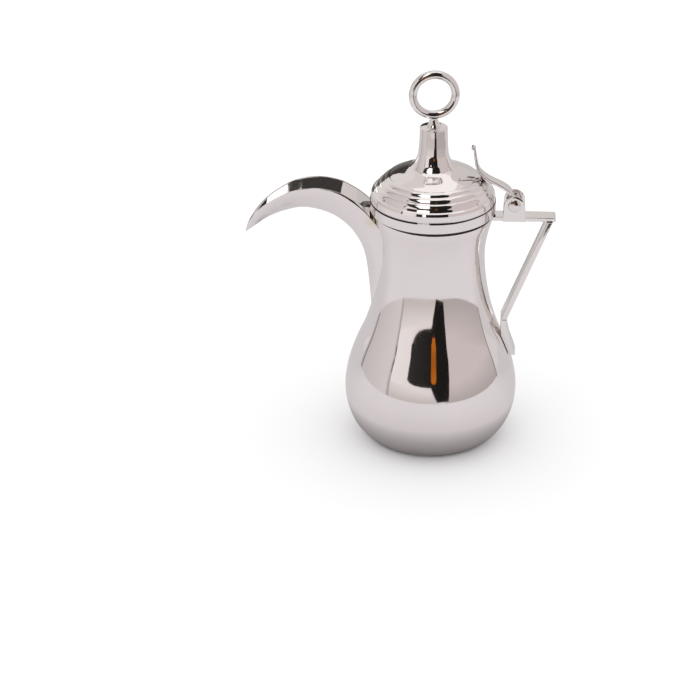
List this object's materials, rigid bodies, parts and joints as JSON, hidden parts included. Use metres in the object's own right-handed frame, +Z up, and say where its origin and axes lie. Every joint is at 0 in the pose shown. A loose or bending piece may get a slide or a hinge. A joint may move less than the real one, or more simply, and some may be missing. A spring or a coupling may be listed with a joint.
{
  "type": "dallah coffee pot",
  "caption": "Silver-plated dallah coffee pot with a crescent beak spout, a flat strap handle and a hinged domed lid that carries a tall ring finial.",
  "frame": {"origin": "centre of the flat base, on the pot's axis", "axes": "+Z up, spout towards -X, handle and hinge towards +X, hinge axis along +Y"},
  "size_m": [0.2254, 0.1268, 0.287],
  "materials": {
    "silver_polished": "mirror-polished silver plate on spun brass",
    "silver_inner": "plain silver plate, less polished, inside and underneath",
    "silver_hardware": "polished silver-plated pins and fixings"
  },
  "bodies": {
    "pot": {"base_plate": "silver_inner", "bowl_shell": "silver_polished", "neck_shell": "silver_polished", "collar_band": "silver_polished", "spout_side_front": "silver_polished", "spout_side_back": "silver_polished", "spout_cover": "silver_polished", "handle_top_bar": "silver_polished", "handle_grip": "silver_polished", "handle_foot": "silver_polished", "hinge_ear_front": "silver_polished", "hinge_ear_back": "silver_polished", "hinge_pin": "silver_hardware"},
    "lid": {"hinge_knuckle": "silver_hardware", "lid_lever": "silver_polished", "lid_dome": "silver_polished", "lid_skirt": "silver_inner", "spire_shell": "silver_polished", "spire_cap": "silver_polished", "ring_socket": "silver_polished", "finial_ring": "silver_polished", "finial_tie_rod": "silver_hardware", "finial_washer": "silver_hardware", "finial_nut": "silver_hardware"}
  },
  "joints": [
    {"name": "lid_hinge", "type": "hinge", "parent": "pot", "child": "lid", "pos_m": [0.059, 0, 0.1865], "axis": [0, 1, 0], "range_deg": [0, 105]}
  ]
}
